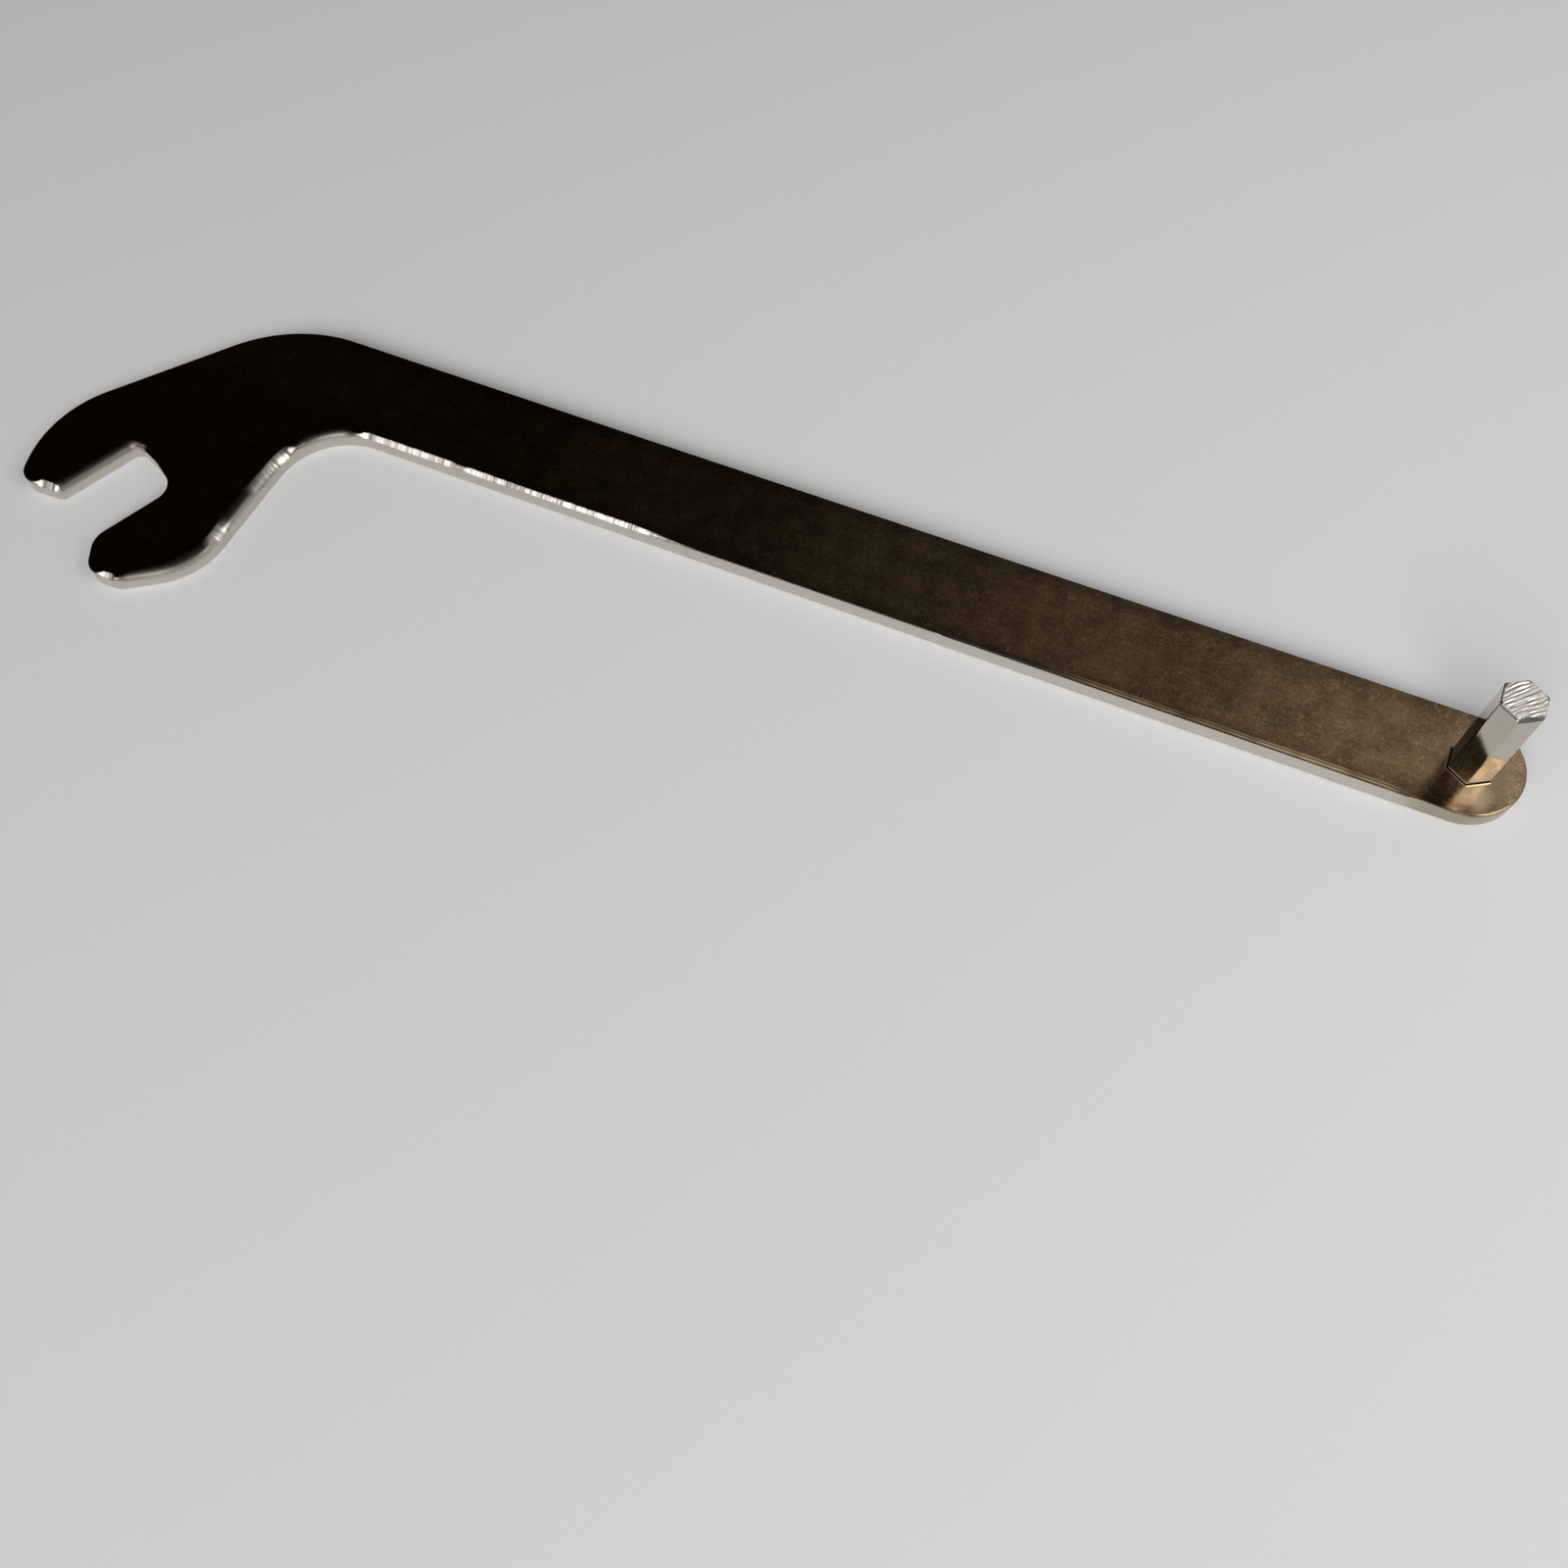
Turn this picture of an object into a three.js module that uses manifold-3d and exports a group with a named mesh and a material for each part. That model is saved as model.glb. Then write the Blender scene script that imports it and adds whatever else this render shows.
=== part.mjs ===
// Convertible top key: a flat steel lever with a hooked open jaw at one end and a hexagonal
// drive stud standing on the other. Millimetres, +Z up, jaw towards -X, stud towards +X.
// The stud passes into a hexagonal hole in the lever and is held by a weld, ground flush, underneath.
// Every length below is a real size; the lever is drawn from the stud's axis and the bar's centre line.
import * as THREE from 'three';
import { mergeVertices } from 'three/addons/utils/BufferGeometryUtils.js';
import Module from 'manifold-3d';

// Lever plate
const PLATE_THICKNESS = 3;
const BAR_WIDTH = 16.5;
const EDGE_ROLL_WIDTH = 1; // the upper edges are rolled over: how far in plan
const EDGE_ROLL_DEPTH = 0.9; // and how far down
const ROLL_SHARE = 0.8; // the most of an outward corner's radius that the roll may take

// Hexagonal stud
const HEX_ACROSS_FLATS = 6;
const STUD_HEIGHT = 19.5; // above the lever's upper face
const STUD_CHAMFER = 0.6;
const STUD_AHEAD = 0.4; // how far it stands beyond the centre of the tail's round

// Weld under the stud
const WELD_DEPTH = 1.4;
const WELD_FLARE = 1.6; // how much wider the weld's countersink is at its mouth
const WELD_LAND = 0.3; // ledge between the hole's corners and the countersink
const FIT_CLEARANCE = 0.3; // between the stud, the weld and the lever

// Jaw: the middle of its floor from the stud's axis, its direction, and its opening
const JAW_ALONG = 206.1;
const JAW_ASIDE = 26.1;
const JAW_ANGLE = 62.3; // degrees, from the bar to the jaw's axis
const JAW_OPENING = 12;
const JAW_CROWN = 0.5; // the floor is hollowed this much, to clear a nut's corner
const JAW_CROWN_OFFSET = -0.3; // towards the inner prong when positive
const JAW_CROWN_RADIUS = 9;
const JAW_OUTER_CORNER_RADIUS = 1.8;
const JAW_INNER_CORNER_RADIUS = 3.2;

// Outer prong, at the tool's end: lengths out of the jaw's floor, widths from the jaw's wall
const OUTER_PRONG_LENGTH = 14.6;
const OUTER_MOUTH_RADIUS = 1.3;
const OUTER_TIP_REACH = 3.5; // how much further out the tip's far corner lies
const OUTER_TIP_WIDTH = 6.2;
const OUTER_TIP_RADIUS = 3;
const FLANK_LENGTH = 7.7;
const FLANK_WIDTH = 14.6;
const FLANK_RADIUS = 19;

// Inner prong, next to the bar
const INNER_PRONG_LENGTH = 14.5;
const INNER_MOUTH_RADIUS = 4;
const INNER_TIP_REACH = 3.8;
const INNER_TIP_WIDTH = 4.7;
const INNER_TIP_RADIUS = 3;
const TOE_REACH = 1.4;
const TOE_WIDTH = 9.1;
const TOE_RADIUS = 1.5;
const HEEL_LENGTH = 5.2;
const HEEL_WIDTH = 15.2;
const HEEL_RADIUS = 12.3;

// Bends between the bar and the head
const OUTER_EDGE_ANGLE = 48.3; // degrees, from the bar to the head's outer edge
const OUTER_BEND_RADIUS = 25;
const NECK_ANGLE = 85; // degrees, from the bar to the neck's inner edge
const INNER_BEND_RADIUS = 12;

// How finely curves are cut into facets
const ARC_SEGMENTS = 8;
const ROLL_SEGMENTS = 3;
const WELD_SEGMENTS = 32;

// Finishes
const LEVER_STEEL = { color: 0x463a2e, roughness: 0.35, metalness: 1 };
const STUD_STEEL = { color: 0xb7b0a7, roughness: 0.3, metalness: 1 };
const WELD_STEEL = { color: 0x8a827a, roughness: 0.5, metalness: 1 };

const wasm = await Module();
wasm.setup();

// A closed geometry as a solid that can be joined and cut
function toSolid(geometry) {
  const bare = geometry.clone();
  bare.deleteAttribute('normal');
  bare.deleteAttribute('uv');
  const merged = mergeVertices(bare);
  return new wasm.Manifold(new wasm.Mesh({
    numProp: 3,
    vertProperties: new Float32Array(merged.attributes.position.array),
    triVerts: new Uint32Array(merged.index.array),
  }));
}

function toGeometry(solid) {
  const mesh = solid.getMesh();
  const geometry = new THREE.BufferGeometry();
  geometry.setAttribute('position', new THREE.BufferAttribute(new Float32Array(mesh.vertProperties), 3));
  geometry.setIndex(new THREE.BufferAttribute(new Uint32Array(mesh.triVerts), 1));
  geometry.computeVertexNormals();
  return geometry;
}

function corner(x, y, radius) {
  return { point: new THREE.Vector2(x, y), radius };
}

// A corner given in the jaw's own frame: out of the jaw's floor, and across its axis towards the bar
function jawCorner(out, across, radius) {
  const angle = THREE.MathUtils.degToRad(JAW_ANGLE);
  const x = -JAW_ALONG - out * Math.cos(angle) + across * Math.sin(angle);
  const y = -JAW_ASIDE - out * Math.sin(angle) - across * Math.cos(angle);
  return corner(x, y, radius);
}

// The corner where a line through another corner, at an angle to the bar, meets an edge of the bar
function bendCorner(from, degrees, edgeY, radius) {
  const slope = Math.tan(THREE.MathUtils.degToRad(degrees));
  return corner(from.point.x + (edgeY - from.point.y) / slope, edgeY, radius);
}

// Adds a rounded corner at each point between start and end; where two roundings would meet,
// both are eased to fit the edge between them. Returns the least radius of the outward corners.
function addRoundedCorners(shape, start, corners, end) {
  const points = [start, ...corners.map((c) => c.point), end];
  const sides = corners.map((c, i) => {
    const back = points[i].clone().sub(c.point);
    const ahead = points[i + 2].clone().sub(c.point);
    const half = Math.acos(back.clone().normalize().dot(ahead.clone().normalize())) / 2;
    return { back, ahead, half, tangent: c.radius / Math.tan(half) };
  });
  let sharpest = Infinity;
  corners.forEach((c, i) => {
    const { back, ahead, half, tangent } = sides[i];
    const before = i > 0 ? sides[i - 1].tangent : 0;
    const after = i < corners.length - 1 ? sides[i + 1].tangent : 0;
    const room = Math.min(1, back.length() / (before + tangent), ahead.length() / (tangent + after));
    const radius = tangent * room * Math.tan(half);
    const toCentre = back.clone().normalize().add(ahead.clone().normalize()).setLength(radius / Math.sin(half));
    const centre = c.point.clone().add(toCentre);
    const from = c.point.clone().add(back.setLength(tangent * room)).sub(centre);
    const to = c.point.clone().add(ahead.setLength(tangent * room)).sub(centre);
    const inward = from.cross(to) < 0;
    shape.absarc(centre.x, centre.y, radius, from.angle(), to.angle(), inward);
    sharpest = inward ? sharpest : Math.min(sharpest, radius);
  });
  return sharpest;
}

// The lever's outline, and the least radius of its outward corners
function leverOutline() {
  const halfBar = BAR_WIDTH / 2;
  const outerWall = -JAW_OPENING / 2;
  const innerWall = JAW_OPENING / 2;
  const flank = jawCorner(FLANK_LENGTH, outerWall - FLANK_WIDTH, FLANK_RADIUS);
  const heel = jawCorner(HEEL_LENGTH, innerWall + HEEL_WIDTH, HEEL_RADIUS);
  const outerTip = OUTER_PRONG_LENGTH + OUTER_TIP_REACH;
  const innerTip = INNER_PRONG_LENGTH + INNER_TIP_REACH;
  const toe = INNER_PRONG_LENGTH + TOE_REACH;
  const corners = [
    bendCorner(flank, OUTER_EDGE_ANGLE, halfBar, OUTER_BEND_RADIUS),
    flank,
    jawCorner(outerTip, outerWall - OUTER_TIP_WIDTH, OUTER_TIP_RADIUS),
    jawCorner(OUTER_PRONG_LENGTH, outerWall, OUTER_MOUTH_RADIUS),
    jawCorner(0, outerWall, JAW_OUTER_CORNER_RADIUS),
    jawCorner(-JAW_CROWN, JAW_CROWN_OFFSET, JAW_CROWN_RADIUS),
    jawCorner(0, innerWall, JAW_INNER_CORNER_RADIUS),
    jawCorner(INNER_PRONG_LENGTH, innerWall, INNER_MOUTH_RADIUS),
    jawCorner(innerTip, innerWall + INNER_TIP_WIDTH, INNER_TIP_RADIUS),
    jawCorner(toe, innerWall + TOE_WIDTH, TOE_RADIUS),
    heel,
    bendCorner(heel, NECK_ANGLE, -halfBar, INNER_BEND_RADIUS),
  ];
  const shape = new THREE.Shape();
  // the tail is a full round
  shape.absarc(-STUD_AHEAD, 0, halfBar, -Math.PI / 2, Math.PI / 2, false);
  const sharpest = addRoundedCorners(
    shape,
    new THREE.Vector2(-STUD_AHEAD, halfBar),
    corners,
    new THREE.Vector2(-STUD_AHEAD, -halfBar),
  );
  return { shape, sharpest };
}

// A hexagon with corners towards +Y and -Y, so that two of its flats face along the bar
function hexagon(acrossFlats) {
  const cornerRadius = acrossFlats / Math.sqrt(3);
  const points = [];
  for (let i = 0; i < 6; i += 1) {
    const angle = Math.PI / 6 + (i * Math.PI) / 3;
    points.push(new THREE.Vector2(cornerRadius * Math.cos(angle), cornerRadius * Math.sin(angle)));
  }
  return new THREE.Shape(points);
}

// A round plug that narrows upwards from z = 0; its top clears the corners of the stud's hole
function weldPlug(clearance) {
  const top = (HEX_ACROSS_FLATS + 2 * FIT_CLEARANCE) / Math.sqrt(3) + WELD_LAND - clearance;
  const profile = [
    new THREE.Vector2(0, 0),
    new THREE.Vector2(top + WELD_FLARE, 0),
    new THREE.Vector2(top, WELD_DEPTH),
    new THREE.Vector2(0, WELD_DEPTH),
  ];
  return new THREE.LatheGeometry(profile, WELD_SEGMENTS).rotateX(Math.PI / 2);
}

function leverPlate() {
  const { shape, sharpest } = leverOutline();
  const rollWidth = Math.min(EDGE_ROLL_WIDTH, ROLL_SHARE * sharpest);
  const rollDepth = Math.min(EDGE_ROLL_DEPTH, PLATE_THICKNESS);
  const blank = new THREE.ExtrudeGeometry(shape, {
    depth: PLATE_THICKNESS - rollDepth,
    curveSegments: ARC_SEGMENTS,
    bevelThickness: rollDepth,
    bevelSize: rollWidth,
    bevelOffset: -rollWidth,
    bevelSegments: ROLL_SEGMENTS,
  });
  // the blank is rolled over on both sides: what lies below z = 0 is cut away, which leaves a square lower edge
  const box = new THREE.Box3().setFromBufferAttribute(blank.attributes.position);
  const size = box.getSize(new THREE.Vector3());
  const centre = box.getCenter(new THREE.Vector3());
  const below = new THREE.BoxGeometry(size.x + BAR_WIDTH, size.y + BAR_WIDTH, size.z);
  below.translate(centre.x, centre.y, -size.z / 2);
  const hole = new THREE.ExtrudeGeometry(hexagon(HEX_ACROSS_FLATS + 2 * FIT_CLEARANCE), {
    depth: 2 * PLATE_THICKNESS,
    bevelEnabled: false,
  });
  const cuts = [below, hole, weldPlug(0)];
  return toGeometry(cuts.reduce((solid, cut) => solid.subtract(toSolid(cut)), toSolid(blank)));
}

// The stud from the weld up; each flat is in two lengths, and the upper one is what a socket drives
function hexStud() {
  const bottom = WELD_DEPTH + FIT_CLEARANCE;
  const length = PLATE_THICKNESS + STUD_HEIGHT - bottom;
  return new THREE.ExtrudeGeometry(hexagon(HEX_ACROSS_FLATS), {
    depth: length - 2 * STUD_CHAMFER,
    steps: 2,
    bevelThickness: STUD_CHAMFER,
    bevelSize: STUD_CHAMFER,
    bevelOffset: -STUD_CHAMFER,
    bevelSegments: 1,
  }).translate(0, 0, bottom + STUD_CHAMFER);
}

function part(name, geometry, finish) {
  const mesh = new THREE.Mesh(geometry, new THREE.MeshStandardMaterial({ ...finish, flatShading: true }));
  mesh.name = name;
  return mesh;
}

const key = new THREE.Group();
key.add(
  part('lever_plate', leverPlate(), LEVER_STEEL),
  part('hex_stud', hexStud(), STUD_STEEL),
  part('back_weld', weldPlug(FIT_CLEARANCE), WELD_STEEL),
);

// The origin is under the middle of the whole tool
const bounds = new THREE.Box3().setFromObject(key);
const middle = bounds.getCenter(new THREE.Vector3());
key.position.set(-middle.x, -middle.y, -bounds.min.z);

export default key;
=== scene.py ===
"""Looks of a convertible top key: a flat steel lever with a hooked open jaw, a hexagonal drive stud at the
other end, and the weld that holds the stud from below. Sizes are in millimetres until a mesh is made."""
import math
from collections import namedtuple

import bpy
import numpy as np
from mathutils import Matrix, Vector, noise
from mathutils.geometry import delaunay_2d_cdt

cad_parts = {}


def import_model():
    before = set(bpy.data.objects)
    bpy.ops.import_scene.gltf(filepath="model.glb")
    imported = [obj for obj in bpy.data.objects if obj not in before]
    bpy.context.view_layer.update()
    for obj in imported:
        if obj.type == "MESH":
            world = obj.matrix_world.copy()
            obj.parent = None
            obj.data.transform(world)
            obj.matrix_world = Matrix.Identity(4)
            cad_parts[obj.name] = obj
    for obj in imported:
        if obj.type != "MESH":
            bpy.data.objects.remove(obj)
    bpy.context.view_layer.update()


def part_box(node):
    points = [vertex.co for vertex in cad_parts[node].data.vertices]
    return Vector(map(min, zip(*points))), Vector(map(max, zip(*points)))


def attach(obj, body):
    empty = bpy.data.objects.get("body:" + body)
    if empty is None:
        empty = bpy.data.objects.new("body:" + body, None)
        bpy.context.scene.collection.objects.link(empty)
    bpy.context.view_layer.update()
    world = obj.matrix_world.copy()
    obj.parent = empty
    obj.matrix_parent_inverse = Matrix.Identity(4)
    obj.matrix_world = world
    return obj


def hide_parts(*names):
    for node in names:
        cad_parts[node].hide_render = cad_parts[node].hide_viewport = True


MM = 0.001

# Lever outline, drawn from the stud's axis and the bar's centre line as in the CAD model
BAR_WIDTH = 16.5
STUD_AHEAD = 0.4
JAW_ALONG = 206.1
JAW_ASIDE = 26.1
JAW_ANGLE = math.radians(62.3)
JAW_OPENING = 12.0
JAW_CROWN = 0.5
JAW_CROWN_OFFSET = -0.3
JAW_CROWN_RADIUS = 9.0
JAW_OUTER_CORNER_RADIUS = 1.8
JAW_INNER_CORNER_RADIUS = 3.2
OUTER_PRONG_LENGTH = 14.6
OUTER_MOUTH_RADIUS = 1.3
OUTER_TIP_REACH = 3.5
OUTER_TIP_WIDTH = 6.2
OUTER_TIP_RADIUS = 3.0
FLANK_LENGTH = 7.7
FLANK_WIDTH = 14.6
FLANK_RADIUS = 19.0
INNER_PRONG_LENGTH = 14.5
INNER_MOUTH_RADIUS = 4.0
INNER_TIP_REACH = 3.8
INNER_TIP_WIDTH = 4.7
INNER_TIP_RADIUS = 3.0
TOE_REACH = 1.4
TOE_WIDTH = 9.1
TOE_RADIUS = 1.5
HEEL_LENGTH = 5.2
HEEL_WIDTH = 15.2
HEEL_RADIUS = 12.3
OUTER_EDGE_ANGLE = math.radians(48.3)
OUTER_BEND_RADIUS = 25.0
NECK_ANGLE = math.radians(85.0)
INNER_BEND_RADIUS = 12.0

# Lever edges
ROLL_WIDTH = 0.15  # the upper edge is rolled over: how far in plan
ROLL_DEPTH = 0.15  # and how far down
ROLL_SHARE = 0.8  # the most of an outward corner's radius that the roll takes
ROLL_RINGS = 10
BARE_FROM = 0.42  # share of the roll, from its top, at which bare steel begins to show
GROUND_RIM = 0.12  # share of a ground edge over which its steel turns bare
WORN_RIM = 0.125  # and over which it takes the look of grinding
BLUING_RATE = 3  # how fast the bluing sets in down the roll
BLUING_LOSS = 0.7  # and how much of it is gone at the roll's foot
PAINTED_GLINT_LINES = (0.1, 0.6, 0.5, 0.1, 0.2, 0.8, 1.0, 0.6, 0.1, 0.0, 0.0)  # painted highlight: a golden double glint across the roll, ring by ring
WALL_RINGS = 3
WALL_DROP = 0.03  # the wall begins this far below the roll
LOWER_ROLL = 0.12
LOWER_RINGS = 3
FLAT_RIM = 0.12  # a flat ring inside each rim, which keeps the faces' shading flat
FINE_STEP = 0.05  # spacing of the outline's points as first worked out
EDGE_STEP = 0.35  # their spacing in the mesh
CORNER_STEP = 0.12  # the most of a corner's radius that their spacing takes
GROUND_STEP = 0.09  # their spacing where the edge was ground
GROUND_FROM = 0.05  # an edge counts as ground above this level
CHATTER = 0.02  # depth of the grinding marks
LEVER_SHARP = math.radians(35)  # the turn between two faces from which an edge is shaded sharp

# Unevenness along the edge: how much, over which length, and which of many patterns
Ripple = namedtuple("Ripple", "amount length pattern")
WIDTH_RIPPLE = Ripple(0.06, 6.0, 1.0)
DEPTH_RIPPLE = Ripple(0.05, 9.0, 2.0)
MARK_RIPPLES = (Ripple(0.6, 0.42, 3.0), Ripple(0.4, 0.21, 4.0))
STREAK_RIPPLES = (Ripple(0.5, 1.3, 6.0), Ripple(0.5, 0.33, 8.0))
STREAK_LEVEL = 0.5
# Unevenness of the painted golden glints along the edge
PAINTED_GLINT_RIPPLE = Ripple(0.6, 2.5, 5.0)
PAINTED_GLINT_LEVEL = 0.7
RIPPLE_ROW = 0.5

# Stud and hole
HEX_ACROSS_FLATS = 6.0
HEX_EDGE_RADIUS = 0.2
HEX_EDGE_STEPS = 4
HOLE_CLEARANCE = 0.07
HOLE_RIM = 0.07
BURR_WIDTH = 0.14  # a burr stands round the hole
BURR_HEIGHT = 0.1
# the burr carries a painted golden glint
BURR_PAINTED_GLINT = 0.45

# The stud's sawn top: its marks, how far they sway, how uneven they are, and how deep their middle lies
SAW_ANGLE = math.radians(45.0)
SAW_PITCH = 0.6
SAW_DEPTH = 0.034
SAW_SWAY = 5.0
SAW_LEVEL = 0.8
SAW_SPREAD = 0.7
SAW_SINK = 2.5
# Noise on the sawn top: its lengths across and along the marks, and which of many patterns
SawNoise = namedtuple("SawNoise", "across along pattern")
SWAY_NOISE = SawNoise(1.4, 3.2, 7.0)
SPREAD_NOISE = SawNoise(0.9, 2.4, 11.0)
SCORE_NOISE = SawNoise(0.2, 1.6, 9.0)
# Bevels filed along the top: each one's direction in degrees, its width and its slope
FILED_SIDES = (
    (300, 0.5, 1.0),
    (240, 0.3, 0.7),
    (180, 0.2, 0.7),
    (120, 0.1, 1.0),
    (60, 0.1, 1.0),
    (0, 0.1, 1.0),
)
FILED_SINK = 1.8
FILED_WANDER = 0.3
FILED_SCALE = 0.6
TOP_ROUND = 3.0  # beyond this distance from the axis the top is worn down
ROUND_SLOPE = 0.5
TOP_RINGS = 54
TOP_STEP = 0.12
STUD_SHARP = math.radians(30)

# Weld: a plug that flares towards the underside, with a rounded rim and a slightly pitted face
WELD_DEPTH = 1.4
WELD_FLARE = 1.6
WELD_TOP_RADIUS = 4.11
WELD_GAP = 0.06
WELD_SIDES = 96
WELD_RINGS = 24
WELD_RIM_WIDTH = 0.15
WELD_RIM_HEIGHT = 0.12
WELD_RIM_FOOT = 0.03
WELD_FACE_INSET = 0.35
WELD_FACE_HEIGHT = 0.004
WAVE_HEIGHT = 0.1
WAVE_SCALE = 2.2
WAVE_RINGS = 3
WAVE_PATTERN = 3.0
PIT_DEPTH = 0.02
PIT_SCALE = 1.1
PIT_LEVEL = 0.25
PIT_PATTERN = 5.0
WELD_SHARP = math.radians(40)

# Camera, fitted to the photograph, from the stud's axis
CAMERA_PLACE = Vector((-48.09, -127.90, 207.76))
CAMERA_FORWARD = Vector((-0.1849, 0.3873, -0.9032))
CAMERA_ROLL = math.radians(2.938)
CAMERA_NEAR = 5.0
CAMERA_FAR = 20000.0
FOCAL_PIXELS = 1605.1
IMAGE_PIXELS = 1600
SENSOR_MM = 36.0

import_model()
plate_low, plate_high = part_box("lever_plate")
stud_low, stud_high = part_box("hex_stud")
AXIS = (stud_low + stud_high) / (2 * MM)
PLATE_TOP = plate_high.z / MM
STUD_TOP = stud_high.z / MM
STUD_BOTTOM = stud_low.z / MM
# Heights of the rings on the stud's sides
STUD_LEVELS = (STUD_BOTTOM, STUD_BOTTOM + 0.3, PLATE_TOP, PLATE_TOP + 6.0, PLATE_TOP + 12.0, STUD_TOP - 1.6)


# Outline

def unit(vector):
    return vector / np.linalg.norm(vector)


def ray(angle):
    """The unit vector at an angle."""
    return np.array((math.cos(angle), math.sin(angle)))


def smooth_step(level):
    """A level from 0 to 1, eased at both ends."""
    return level * level * (3 - 2 * level)


def jaw_point(out, across):
    """A point in the jaw's own frame: out of its floor, and across its axis towards the bar."""
    along = np.array((-math.cos(JAW_ANGLE), -math.sin(JAW_ANGLE)))
    aside = np.array((math.sin(JAW_ANGLE), -math.cos(JAW_ANGLE)))
    return np.array((-JAW_ALONG, -JAW_ASIDE)) + out * along + across * aside


def bend_point(start, angle, edge_y):
    """Where a line from start, at an angle to the bar, meets an edge of the bar."""
    return np.array((start[0] + (edge_y - start[1]) / math.tan(angle), edge_y))


OUTER_WALL = -JAW_OPENING / 2
INNER_WALL = JAW_OPENING / 2
NEAR_EDGE = -BAR_WIDTH / 2
FAR_EDGE = BAR_WIDTH / 2
FLANK = jaw_point(FLANK_LENGTH, OUTER_WALL - FLANK_WIDTH)
OUTER_TIP = jaw_point(OUTER_PRONG_LENGTH + OUTER_TIP_REACH, OUTER_WALL - OUTER_TIP_WIDTH)
OUTER_MOUTH = jaw_point(OUTER_PRONG_LENGTH, OUTER_WALL)
JAW_OUTER_CORNER = jaw_point(0, OUTER_WALL)
TOE = jaw_point(INNER_PRONG_LENGTH + TOE_REACH, INNER_WALL + TOE_WIDTH)
HEEL = jaw_point(HEEL_LENGTH, INNER_WALL + HEEL_WIDTH)
NECK_BEND = bend_point(HEEL, NECK_ANGLE, NEAR_EDGE)


def outline_corners():
    """The lever's corners and their radii, against the clock from the tail."""
    return [
        (bend_point(FLANK, OUTER_EDGE_ANGLE, FAR_EDGE), OUTER_BEND_RADIUS),
        (FLANK, FLANK_RADIUS),
        (OUTER_TIP, OUTER_TIP_RADIUS),
        (OUTER_MOUTH, OUTER_MOUTH_RADIUS),
        (JAW_OUTER_CORNER, JAW_OUTER_CORNER_RADIUS),
        (jaw_point(-JAW_CROWN, JAW_CROWN_OFFSET), JAW_CROWN_RADIUS),
        (jaw_point(0, INNER_WALL), JAW_INNER_CORNER_RADIUS),
        (jaw_point(INNER_PRONG_LENGTH, INNER_WALL), INNER_MOUTH_RADIUS),
        (jaw_point(INNER_PRONG_LENGTH + INNER_TIP_REACH, INNER_WALL + INNER_TIP_WIDTH), INNER_TIP_RADIUS),
        (TOE, TOE_RADIUS),
        (HEEL, HEEL_RADIUS),
        (NECK_BEND, INNER_BEND_RADIUS),
    ]


def corner_arcs(start, corners, end):
    """(centre, radius, first angle, turn) of each corner; roundings that would meet are eased to fit."""
    points = [start] + [point for point, _ in corners] + [end]
    backs = [points[i] - point for i, (point, _) in enumerate(corners)]
    aheads = [points[i + 2] - point for i, (point, _) in enumerate(corners)]
    halves = [math.acos(unit(b) @ unit(a)) / 2 for b, a in zip(backs, aheads)]
    tangents = [radius / math.tan(half) for (_, radius), half in zip(corners, halves)]
    padded = [0.0] + tangents + [0.0]
    arcs = []
    for i, (point, _) in enumerate(corners):
        before = np.linalg.norm(backs[i]) / (padded[i] + tangents[i])
        after = np.linalg.norm(aheads[i]) / (tangents[i] + padded[i + 2])
        reach = tangents[i] * min(1.0, before, after)
        radius = reach * math.tan(halves[i])
        middle = unit(unit(backs[i]) + unit(aheads[i]))
        centre = point + middle * radius / math.sin(halves[i])
        first = point + unit(backs[i]) * reach - centre
        last = point + unit(aheads[i]) * reach - centre
        turn = math.atan2(first[0] * last[1] - first[1] * last[0], first @ last)
        arcs.append((centre, radius, math.atan2(first[1], first[0]), turn))
    return arcs


def fine_outline():
    """Closely spaced points round the lever, their outward normals, and how sharply they curve, out or in."""
    tail = np.array((-STUD_AHEAD, 0.0))
    arcs = [(tail, FAR_EDGE, -math.pi / 2, math.pi)]
    arcs += corner_arcs(tail + (0, FAR_EDGE), outline_corners(), tail + (0, NEAR_EDGE))
    points = []
    normals = []
    radii = []
    for i, (centre, radius, first, turn) in enumerate(arcs):
        outward = math.copysign(1.0, turn)
        steps = math.ceil(abs(turn) * radius / FINE_STEP)
        angles = first + turn * np.arange(steps + 1) / steps
        rays = np.c_[np.cos(angles), np.sin(angles)]
        points.append(centre + radius * rays)
        normals.append(outward * rays)
        radii.append(np.full(steps + 1, outward * radius))
        next_centre, next_radius, next_first, _ = arcs[(i + 1) % len(arcs)]
        here = points[-1][-1]
        there = next_centre + next_radius * ray(next_first)
        steps = math.ceil(np.linalg.norm(there - here) / FINE_STEP)
        shares = np.arange(1, steps) / max(1, steps)
        points.append(here + shares[:, None] * (there - here))
        normals.append(np.tile(normals[-1][-1], (len(shares), 1)))
        radii.append(np.full(len(shares), math.inf))
    return np.concatenate(points), np.concatenate(normals), np.concatenate(radii)


def along_neck(y):
    """The point of the neck's straight edge at a height y."""
    return bend_point(HEEL, NECK_ANGLE, y)
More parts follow.
